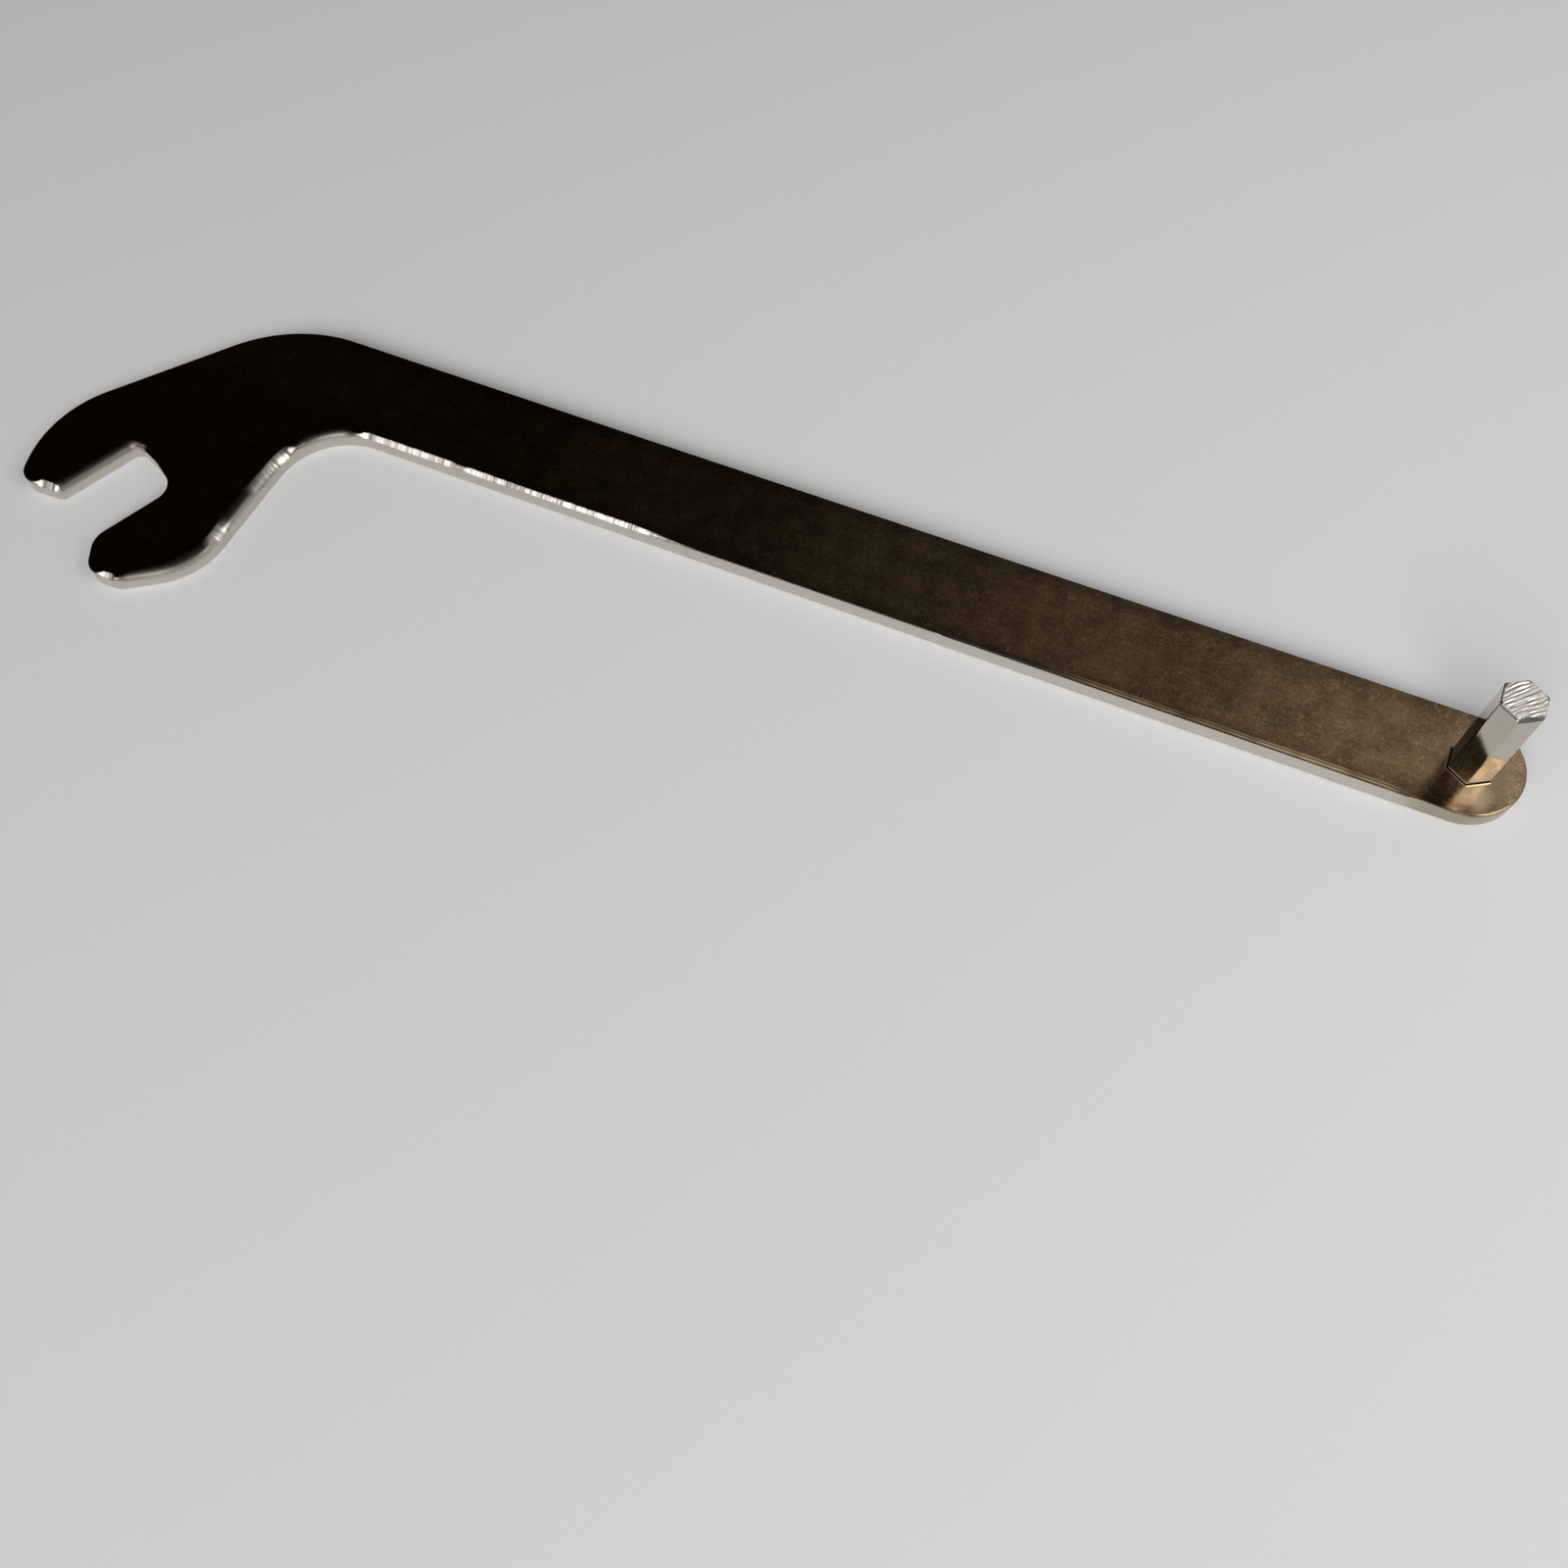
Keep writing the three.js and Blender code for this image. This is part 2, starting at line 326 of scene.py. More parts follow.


# Stretches of the upper edge that differ from the plain one: where they start and end, how far they fade
# beyond that, the edge's width and depth, whether it is a flat bevel or a roll, how far it was ground, how
# blued it is, how much painted golden glint it carries, and how bare its steel is at its foot. A later
# stretch lies over an earlier one.
Stretch = namedtuple("Stretch", "start end fade width depth flat ground blued gilt bare")
STRETCHES = (
    # Worn near edge and tail, with painted golden glints on the near edge and round the tail's end
    Stretch((-75.0, NEAR_EDGE), (-11.0, NEAR_EDGE), 5.0, 1.0, 0.12, 1.0, 0.0, 0.7, 0.0, 0.2),
    Stretch((-50.0, NEAR_EDGE), (-15.0, NEAR_EDGE), 14.0, 1.0, 0.12, 1.0, 0.0, 0.0, 1.0, 0.0),
    Stretch((2.0, -7.7), (6.0, -5.3), 3.0, 0.4, 0.35, 0.0, 0.0, 0.0, 1.0, 0.4),
    # Wide rolls of the jaw and neck
    Stretch(OUTER_MOUTH, JAW_OUTER_CORNER, 1.8, 1.7, 1.5, 0.0, 0.0, 1.0, 0.0, 1.0),
    Stretch(TOE + (2.5, 0.5), HEEL + (-1.9, -0.3), 3.0, 1.8, 1.5, 0.0, 0.0, 1.0, 0.0, 1.0),
    Stretch(HEEL + (-1.3, 0.6), NECK_BEND + (0.0, -9.0), 3.5, 2.2, 1.5, 0.0, 0.0, 1.0, 0.0, 1.0),
    Stretch(NECK_BEND + (1.5, -4.5), NECK_BEND + (6.0, -1.0), 3.0, 1.5, 1.3, 0.0, 0.0, 1.0, 0.0, 1.0),
    # Ground band of the bar, with a duller spot
    Stretch((-177.0, NEAR_EDGE), (-150.0, NEAR_EDGE), 2.4, 0.8, 0.66, 0.9, 1.0, 0.0, 0.0, 1.0),
    Stretch((-150.0, NEAR_EDGE), (-129.0, NEAR_EDGE), 12.0, 0.68, 0.56, 0.9, 1.0, 0.0, 0.0, 1.0),
    Stretch((-160.6, NEAR_EDGE), (-159.4, NEAR_EDGE), 1.2, 0.7, 0.56, 0.7, 0.5, 0.6, 0.0, 0.5),
    # Ground facets of the neck, the two tips and the jaw's corner
    Stretch(along_neck(-34.3), along_neck(-33.0), 2.6, 1.6, 1.25, 0.7, 0.8, 0.0, 0.0, 1.0),
    Stretch(along_neck(-23.6), along_neck(-22.6), 1.8, 1.7, 1.3, 0.5, 0.5, 0.4, 0.0, 1.0),
    Stretch(along_neck(-20.8), along_neck(-16.3) + (0.5, 0.0), 2.6, 1.5, 1.2, 0.7, 0.8, 0.0, 0.0, 1.0),
    Stretch(OUTER_MOUTH + (-2.9, -0.1), OUTER_MOUTH + (-1.0, 0.0), 2.0, 1.1, 0.8, 0.85, 1.0, 0.0, 0.0, 1.0),
    Stretch(TOE + (-1.9, 0.3), TOE + (-0.8, 0.2), 1.7, 0.95, 0.72, 0.85, 1.0, 0.0, 0.0, 1.0),
    Stretch(
        JAW_OUTER_CORNER + (0.5, -1.0), JAW_OUTER_CORNER + (1.6, -0.6),
        0.9, 1.0, 1.1, 0.2, 0.2, 0.3, 0.0, 0.9),
)
SHAPE_FIELD = Stretch._fields.index("width")  # from here on a stretch's numbers are the edge's shape
PLAIN_EDGE = (ROLL_WIDTH, ROLL_DEPTH, 0.0, 0.0, 0.7, 0.0, 0.2)


def nearness(points, start, end, fade):
    """1 on the stretch between two points, falling smoothly to 0 at the fade distance from it."""
    start = np.array(start)
    span = np.array(end) - start
    share = np.clip((points - start) @ span / (span @ span), 0, 1)
    gap = np.linalg.norm(points - start - share[:, None] * span, axis=1)
    return smooth_step(np.clip(1 - gap / fade, 0, 1))


def edge_shape(points):
    """The edge at each point, in the order of a stretch's numbers from its width on."""
    shape = np.tile(PLAIN_EDGE, (len(points), 1))
    for stretch in STRETCHES:
        level = nearness(points, stretch.start, stretch.end, stretch.fade)
        shape += (np.array(stretch[SHAPE_FIELD:]) - shape) * level[:, None]
    return shape.T


def lever_edge():
    """The outline's points as the mesh has them, closer where the edge was ground or turns sharply."""
    points, normals, radii = fine_outline()
    _, _, _, ground, _, _, _ = edge_shape(points)
    plain_spacing = np.minimum(EDGE_STEP, CORNER_STEP * np.abs(radii))
    spacing = np.where(ground > GROUND_FROM, GROUND_STEP, plain_spacing)
    steps = np.linalg.norm(np.diff(points, axis=0), axis=1)
    keep = [0]
    travelled = 0.0
    for i, step in enumerate(steps, start=1):
        travelled += step
        if travelled >= spacing[i]:
            keep.append(i)
            travelled = 0.0
    if np.linalg.norm(points[keep[-1]] - points[0]) < GROUND_STEP / 2:
        keep.pop()
    return points[keep], normals[keep], radii[keep]


# Meshes

INSIDE_ONLY = 1  # the kind of filling that leaves out triangles beyond the rim
MERGE_DISTANCE = 1e-5


class Rings:
    """Rings of points, one after another, with a number at each point for every label."""

    def __init__(self, *labels):
        self.places = []
        self.numbers = {label: [] for label in labels}

    def add(self, plan, height, **levels):
        count = len(plan)
        self.places.extend(np.c_[plan, np.broadcast_to(height, count)].tolist())
        for label, values in self.numbers.items():
            values.extend(np.broadcast_to(levels.get(label, 0.0), count).tolist())


def grid_faces(rings, count, first=0):
    """Quads between closed rings of count points, each ring after the one before it."""
    faces = []
    for ring in range(rings - 1):
        base = first + ring * count
        for i in range(count):
            j = (i + 1) % count
            faces.append((base + i, base + count + i, base + count + j, base + j))
    return faces


def fan_faces(first, count, tip):
    """Triangles between a closed ring of count points and one point."""
    return [(first + i, first + (i + 1) % count, tip) for i in range(count)]


def cap_faces(outer, hole, places):
    """Triangles, facing up, between a ring of point numbers and a convex ring inside it."""
    numbers = list(outer) + list(hole)
    spots = [Vector(places[i][:2]) for i in numbers]
    rim = list(range(len(outer)))
    inner = list(range(len(outer), len(numbers)))
    hole_edges = list(zip(inner, inner[1:] + inner[:1]))
    filling = delaunay_2d_cdt(spots, hole_edges, [rim], INSIDE_ONLY, MERGE_DISTANCE)
    _, _, triangles, sources, _, _ = filling
    faces = []
    for corners in triangles:
        source = [sources[i][0] for i in corners]
        if min(source) < len(rim):
            faces.append(tuple(numbers[i] for i in source))
    return faces


def flipped(faces):
    """The same faces, seen from their other side."""
    return [tuple(reversed(face)) for face in faces]


def make_piece(name, rings, faces, node, sharp_angle):
    """A mesh piece at its place on the tool, with the rings' numbers for its material."""
    mesh = bpy.data.meshes.new(name)
    shifted = (np.array(rings.places) + np.array((AXIS.x, AXIS.y, 0))) * MM
    mesh.from_pydata(shifted.tolist(), [], faces)
    for label, values in rings.numbers.items():
        attribute = mesh.attributes.new(label, "FLOAT", "POINT")
        attribute.data.foreach_set("value", np.array(values, np.float32))
    mesh.validate()
    mesh.shade_smooth()
    mesh.set_sharp_from_angle(angle=sharp_angle)
    piece = bpy.data.objects.new(name, mesh)
    bpy.context.scene.collection.objects.link(piece)
    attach(piece, "root")
    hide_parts(node)
    return piece


def circle(count):
    """Points round the unit circle."""
    angles = np.linspace(0, 2 * math.pi, count, endpoint=False)
    return np.c_[np.cos(angles), np.sin(angles)]


def hexagon_ring(across_flats):
    """Points round a hexagon with rounded corners, two of its corners towards +Y and -Y."""
    points = []
    corner = (across_flats / 2 - HEX_EDGE_RADIUS) / math.cos(math.pi / 6)
    for side in range(6):
        towards = math.pi / 6 + side * math.pi / 3
        centre = corner * ray(towards)
        for step in range(HEX_EDGE_STEPS + 1):
            angle = towards - math.pi / 6 + step * math.pi / 3 / HEX_EDGE_STEPS
            points.append(centre + HEX_EDGE_RADIUS * ray(angle))
    return np.array(points)


def rippled(along, *ripples):
    """The sum of some ripples at each length along the edge."""
    total = np.zeros(len(along))
    for ripple in ripples:
        places = [Vector((length / ripple.length, ripple.pattern, RIPPLE_ROW)) for length in along]
        total += [ripple.amount * noise.noise(place) for place in places]
    return total


def inset(points, normals, distance):
    """Points of the outline, moved inwards."""
    return points - normals * np.broadcast_to(distance, len(points))[:, None]


def add_edge(rings, points, normals, radii):
    """The lever's rings from the rim of its upper face, down its wall, to the rim of its underside."""
    steps = np.linalg.norm(np.roll(points, -1, axis=0) - points, axis=1)
    along = np.concatenate(([0.0], np.cumsum(steps)[:-1]))
    width, depth, flatness, ground, blued, gilt, bare = edge_shape(points)
    width = width * (1 + rippled(along, WIDTH_RIPPLE))
    width = np.where(radii > 0, np.minimum(width, ROLL_SHARE * np.abs(radii)), width)
    depth = depth * (1 + rippled(along, DEPTH_RIPPLE))
    marks = CHATTER * ground * rippled(along, *MARK_RIPPLES)
    streak = STREAK_LEVEL + rippled(along, *STREAK_RIPPLES)
    # Painted highlight: golden glints, uneven along the edge
    gilt = gilt * np.clip(PAINTED_GLINT_LEVEL + rippled(along, PAINTED_GLINT_RIPPLE), 0, 1)

    rings.add(inset(points, normals, width + FLAT_RIM), PLATE_TOP)
    for ring in range(ROLL_RINGS + 1):
        share = ring / ROLL_RINGS
        angle = share * math.pi / 2
        round_inset = width * (1 - math.sin(angle))
        round_drop = depth * (1 - math.cos(angle))
        flat_inset = width * (1 - share)
        flat_drop = depth * share
        bump = marks * math.sin(math.pi * share)
        inwards = round_inset + (flat_inset - round_inset) * flatness + bump
        drop = round_drop + (flat_drop - round_drop) * flatness + bump
        low = max(0.0, (share - BARE_FROM) / (1 - BARE_FROM))
        rolled = bare * smooth_step(low)
        rings.add(
            inset(points, normals, inwards),
            PLATE_TOP - drop,
            bare=rolled + (min(1.0, share / GROUND_RIM) - rolled) * ground,
            worn=ground * min(1.0, share / WORN_RIM),
            blued=blued * min(1.0, share * BLUING_RATE) * (1 - BLUING_LOSS * low),
            gilt=gilt * PAINTED_GLINT_LINES[ring],
            streak=streak,
        )
    wall_top = PLATE_TOP - depth - WALL_DROP
    for ring in range(WALL_RINGS + 1):
        rings.add(points, wall_top + (LOWER_ROLL - wall_top) * ring / WALL_RINGS, bare=1.0)
    for ring in range(1, LOWER_RINGS + 1):
        share = ring / LOWER_RINGS
        angle = share * math.pi / 2
        plan = inset(points, normals, LOWER_ROLL * (1 - math.cos(angle)))
        rings.add(plan, LOWER_ROLL * (1 - math.sin(angle)), bare=1.0 - share)
    rings.add(inset(points, normals, LOWER_ROLL + FLAT_RIM), 0.0)


def add_hole(rings):
    """The rings of the stud's hole, from its burr down to the weld's flared mouth; returns a ring's count."""
    hole = hexagon_ring(HEX_ACROSS_FLATS + 2 * HOLE_CLEARANCE)
    around = circle(len(hole))
    mouth = WELD_TOP_RADIUS + WELD_FLARE
    wider = 2 / HEX_ACROSS_FLATS
    burr_foot = HOLE_RIM + BURR_WIDTH
    rings.add(hole * (1 + (burr_foot + FLAT_RIM) * wider), PLATE_TOP)
    # The burr's rings carry a painted golden glint
    rings.add(hole * (1 + burr_foot * wider), PLATE_TOP, gilt=BURR_PAINTED_GLINT)
    rings.add(hole * (1 + HOLE_RIM * wider), PLATE_TOP + BURR_HEIGHT, gilt=BURR_PAINTED_GLINT)
    rings.add(hole, PLATE_TOP - HOLE_RIM)
    rings.add(hole, WELD_DEPTH)
    rings.add(around * WELD_TOP_RADIUS, WELD_DEPTH)
    rings.add(around * mouth, 0.0)
    rings.add(around * (mouth + FLAT_RIM), 0.0)
    return len(hole)


def lever():
    points, normals, radii = lever_edge()
    count = len(points)
    # gilt marks the painted golden highlights on the edges and the burr
    rings = Rings("bare", "worn", "blued", "gilt", "streak")
    add_edge(rings, points, normals, radii)
    edge_end = len(rings.places)
    sides = add_hole(rings)
    hole_end = len(rings.places)

    faces = grid_faces(edge_end // count, count)
    faces += flipped(grid_faces((hole_end - edge_end) // sides, sides, edge_end))
    faces += cap_faces(range(count), range(edge_end, edge_end + sides), rings.places)
    underside = cap_faces(range(edge_end - count, edge_end), range(hole_end - sides, hole_end), rings.places)
    faces += flipped(underside)
    return make_piece("lever", rings, faces, "lever_plate", LEVER_SHARP)


def saw_noise(ridge, run, kind):
    return noise.noise(Vector((ridge / kind.across, run / kind.along, kind.pattern)))


def stud_top(place):
    """Height of the sawn end of the stud over a place in plan, and 1 where it was filed or worn down."""
    ridge = place @ ray(SAW_ANGLE + math.pi / 2)
    run = place @ ray(SAW_ANGLE)
    sway = SAW_SWAY * saw_noise(ridge, run, SWAY_NOISE)
    depth = SAW_LEVEL + SAW_SPREAD * saw_noise(ridge, run, SPREAD_NOISE)
    tooth = depth * math.sin(2 * math.pi * ridge / SAW_PITCH + sway)
    tooth += saw_noise(ridge, run, SCORE_NOISE)
    level = STUD_TOP - SAW_SINK * SAW_DEPTH
    filed = level - (np.linalg.norm(place) - TOP_ROUND) * ROUND_SLOPE
    for degrees, width, slope in FILED_SIDES:
        reach = place @ ray(math.radians(degrees))
        wander = 1 + FILED_WANDER * noise.noise(Vector((*(place * FILED_SCALE), degrees)))
        edge = HEX_ACROSS_FLATS / 2 - width * wander
        if reach > edge:
            filed = min(filed, level - FILED_SINK * SAW_DEPTH - (reach - edge) * slope)
    return min(level + SAW_DEPTH * tooth, filed), 1.0 if filed < level - SAW_DEPTH else 0.0


def stud():
    section = hexagon_ring(HEX_ACROSS_FLATS)
    ring = []
    for here, there in zip(section, np.roll(section, -1, axis=0)):
        pieces = max(1, round(np.linalg.norm(there - here) / TOP_STEP))
        ring += [here + (there - here) * k / pieces for k in range(pieces)]
    ring = np.array(ring)
    count = len(ring)
    rings = Rings("sawn", "filed")
    for height in STUD_LEVELS:
        rings.add(ring, height)
    for k in range(TOP_RINGS):
        plan = ring * (1 - k / TOP_RINGS)
        heights, filed = zip(*(stud_top(point) for point in plan))
        rings.add(plan, heights, sawn=1.0 if k else 0.0, filed=filed)
    end = len(rings.places)
    centre = np.zeros((1, 2))
    rings.add(centre, stud_top(centre[0])[0], sawn=1.0)
    rings.add(centre, STUD_BOTTOM)

    faces = flipped(grid_faces(end // count, count))
    faces += fan_faces(end - count, count, end)
    faces += flipped(fan_faces(0, count, end + 1))
    return make_piece("stud", rings, faces, "hex_stud", STUD_SHARP)


def weld():
    around = circle(WELD_SIDES)
    mouth = WELD_TOP_RADIUS + WELD_FLARE - WELD_GAP
    top = WELD_DEPTH - WELD_GAP
    waves = np.array([noise.noise(Vector((*(spot * WAVE_SCALE), WAVE_PATTERN))) for spot in around])
    rings = Rings()
    rings.add(around * (WELD_TOP_RADIUS - WELD_GAP), top)
    rings.add(around * mouth, WELD_RIM_HEIGHT)
    rings.add(around * (mouth - WELD_RIM_WIDTH), WELD_RIM_FOOT)
    for k in range(WELD_RINGS):
        radius = (mouth - WELD_FACE_INSET) * (1 - k / WELD_RINGS)
        wave = WAVE_HEIGHT * max(0.0, 1 - k / WAVE_RINGS)
        plan = around * (radius + wave * waves[:, None])
        pits = np.array([noise.noise(Vector((*(spot * PIT_SCALE), PIT_PATTERN))) for spot in plan])
        rings.add(plan, WELD_FACE_HEIGHT + PIT_DEPTH * np.maximum(0.0, pits - PIT_LEVEL))
    end = len(rings.places)
    centre = np.zeros((1, 2))
    rings.add(centre, WELD_FACE_HEIGHT)
    rings.add(centre, top)

    faces = grid_faces(end // WELD_SIDES, WELD_SIDES)
    faces += flipped(fan_faces(end - WELD_SIDES, WELD_SIDES, end))
    faces += fan_faces(0, WELD_SIDES, end + 1)
    return make_piece("weld", rings, faces, "back_weld", WELD_SHARP)


# Materials

# Noise patterns: scale, detail and roughness
CLOUDS = (0.25, 8.0, 0.7)
GRAIN = (2.4, 3.0, 0.6)
FLECKS = (1.2, 2.0, 0.5)
SCRATCHES = (1.0, 1.0, 0.4)
DRAWN = (5.0, 3.0, 0.6)
WELD_GRAIN = (3.0, 4.0, 0.6)
NOISE_MIDDLE = 0.5
SCRATCH_STRETCH = (0.22, 5.0, 0.01)
SCRATCH_SETS = ((62.0, 3.0), (-18.0, 8.0))  # direction in degrees, and a shift that tells the sets apart
DRAWN_STRETCH = (1, 1, 0.06)

# Changes from one range of values to another: from low, from high, to low, to high
CLOUD_SHADE = (0.32, 0.68, 0.68, 1.28)
GRAIN_SHADE = (0.25, 0.75, 0.7, 1.3)
RIM_SHADE = (BAR_WIDTH / 2, BAR_WIDTH / 2 - 3.5, 0.66, 1.0)
FLECK_SHADE = (0.58, 0.72, 0.0, 0.4)
SCRATCH_SHADE = (0.66, 0.74, 0.0, 0.45)
FACE_ROUGHNESS = (0.3, 0.7, 0.14, 0.2)
DRAWN_ROUGHNESS = (0.3, 0.7, 0.07, 0.11)
WELD_ROUGHNESS = (0.3, 0.7, 0.3, 0.45)
BLUED_FACE_ROUGHNESS = 0.42
WALL_ROUGHNESS = 0.26
BLUED_WALL_ROUGHNESS = 0.6
GROUND_ROUGHNESS = 0.28
SAWN_ROUGHNESS = 0.24

# Bumps: strength and height
FACE_BUMP = (0.25, 0.01)
DRAWN_BUMP = (0.15, 0.004)
WELD_BUMP = (0.5, 0.02)

# Colours; the face's run from the jaw to the tail: a brown finish that turns lighter towards the tail, partly
# as painted reflection
FACE_AND_SHEEN_COLOURS = (
    (0.0, (0.15, 0.078, 0.032)),
    (0.5, (0.165, 0.098, 0.045)),
    (0.75, (0.18, 0.118, 0.066)),
    (0.93, (0.166, 0.111, 0.062)),
    (0.97, (0.2, 0.137, 0.079)),
    (1.0, (0.31, 0.222, 0.138)),
)
BLUED_COLOUR = (0.045, 0.042, 0.038, 1)
# Colour of the painted golden glints on the edges and the burr
PAINTED_GLINT_COLOUR = (0.9, 0.68, 0.42, 1)
WALL_COLOUR = (0.62, 0.58, 0.515, 1)
WARM_WALL_COLOUR = (0.45, 0.395, 0.31, 1)
GROUND_COLOURS = ((0.1, (0.16, 0.145, 0.13)), (0.8, (0.76, 0.7, 0.635)))
DRAWN_COLOURS = ((0.3, (0.52, 0.465, 0.395)), (0.7, (0.57, 0.51, 0.435)))
SAWN_COLOUR = (0.88, 0.81, 0.725, 1)
FILED_COLOUR = (0.46, 0.42, 0.37, 1)
WELD_COLOURS = ((0.3, (0.34, 0.30, 0.27)), (0.7, (0.55, 0.51, 0.46)))

# Heat tint round the stud: how far it reaches, how much its rim wanders, and how it fades towards the bar,
# which leaves the face beside the stud darker as painted shade; and a painted reflection:
# a tan patch of light in front of the stud, thrown onto the face by the stud's lit facet, drawn out across
# the bar
HEAT_COLOUR = (0.355, 0.272, 0.18, 1)
HEAT_SHARE = 0.6
HEAT_REACH = (7.0, 4.2)
HEAT_WANDER = 2.0
# the fade towards the bar keeps the face left of the stud darker: painted shade
HEAT_FADE_AS_SHADE = (-4.0, 1.0, 0.15, 1.0)
HEAT_ROUGHNESS = 0.14
# Painted reflection: the tan patch of light that the stud's facet throws onto the face
PAINTED_GLOW_COLOUR = (0.66, 0.5, 0.31, 1)
PAINTED_GLOW_SHARE = 0.55
PAINTED_GLOW_PLACE = (2.4, -4.8, 0)
PAINTED_GLOW_STRETCH = (1.0, 0.6, 0)
PAINTED_GLOW_REACH = (1.9, 0.5)
WARM_REACH = (12.5, 8.8)


class Nodes:
    """Short calls that add nodes to a node tree and link them."""

    def __init__(self, tree):
        self.tree = tree

    def add(self, kind, inputs=None, **settings):
        node = self.tree.nodes.new(kind)
        for name, value in settings.items():
            setattr(node, name, value)
        for name, value in (inputs or {}).items():
            self.set(node.inputs[name], value)
        return node

    def set(self, socket, value):
        if isinstance(value, bpy.types.NodeSocket):
            self.tree.links.new(value, socket)
        else:
            socket.default_value = value

    def math(self, operation, first, second=0.0):
        node = self.add("ShaderNodeMath", operation=operation)
        self.set(node.inputs[0], first)
        self.set(node.inputs[1], second)
        return node.outputs[0]

    def vector(self, operation, first, second=None, scale=None):
        node = self.add("ShaderNodeVectorMath", operation=operation)
        self.set(node.inputs[0], first)
        if second is not None:
            self.set(node.inputs[1], second)
        if scale is not None:
            self.set(node.inputs["Scale"], scale)
        return node.outputs["Value" if operation == "LENGTH" else "Vector"]

    def split(self, vector):
        return self.add("ShaderNodeSeparateXYZ", inputs={"Vector": vector}).outputs

    def remap(self, value, low, high, to_low=0.0, to_high=1.0, smooth=True):
        node = self.add("ShaderNodeMapRange", interpolation_type="SMOOTHSTEP" if smooth else "LINEAR")
        values = {"Value": value, "From Min": low, "From Max": high, "To Min": to_low, "To Max": to_high}
        for name, number in values.items():
            self.set(node.inputs[name], number)
        return node.outputs["Result"]

    def blend(self, share, first, second):
        node = self.add("ShaderNodeMix", data_type="RGBA")
        self.set(node.inputs[0], share)
        self.set(node.inputs[6], first)
        self.set(node.inputs[7], second)
        return node.outputs[2]

    def level(self, share, first, second):
        node = self.add("ShaderNodeMix", data_type="FLOAT")
        self.set(node.inputs[0], share)
        self.set(node.inputs[2], first)
        self.set(node.inputs[3], second)
        return node.outputs[0]

    def noise(self, vector, scale, detail, roughness):
        values = {"Vector": vector, "Scale": scale, "Detail": detail, "Roughness": roughness}
        return self.add("ShaderNodeTexNoise", inputs=values).outputs["Fac"]

    def attribute(self, name):
        return self.add("ShaderNodeAttribute", attribute_name=name).outputs["Fac"]

    def ramp(self, value, stops):
        node = self.add("ShaderNodeValToRGB")
        self.set(node.inputs[0], value)
        band = node.color_ramp
        while len(band.elements) < len(stops):
            band.elements.new(1.0)
        for element, (place, colour) in zip(band.elements, stops):
            element.position = place
            element.color = (*colour, 1.0)
        return node.outputs["Color"]


def metal(name):
    """A new metal material: its node helper, its shader, and the place on the tool in millimetres."""
    material = bpy.data.materials.new(name)
    material.use_nodes = True
    nodes = Nodes(material.node_tree)
    shader = material.node_tree.nodes["Principled BSDF"]
    shader.inputs["Metallic"].default_value = 1.0
    coordinates = nodes.add("ShaderNodeTexCoord").outputs["Object"]
    place = nodes.vector("SCALE", coordinates, scale=1 / MM)
    return material, nodes, shader, place


def add_bump(nodes, shader, height, strength, distance):
    bump = nodes.add("ShaderNodeBump", inputs={"Height": height})
    bump.inputs["Strength"].default_value = strength
    bump.inputs["Distance"].default_value = distance * MM
    nodes.set(shader.inputs["Normal"], bump.outputs["Normal"])


def scratches(nodes, place, degrees, shift):
    """Short fine lines, all about one direction."""
    turned = nodes.add("ShaderNodeMapping", inputs={"Vector": place})
    turned.inputs["Location"].default_value = (shift, shift, 0)
    turned.inputs["Rotation"].default_value = (0, 0, math.radians(degrees))
    turned.inputs["Scale"].default_value = SCRATCH_STRETCH
    return nodes.remap(nodes.noise(turned.outputs["Vector"], *SCRATCHES), *SCRATCH_SHADE)


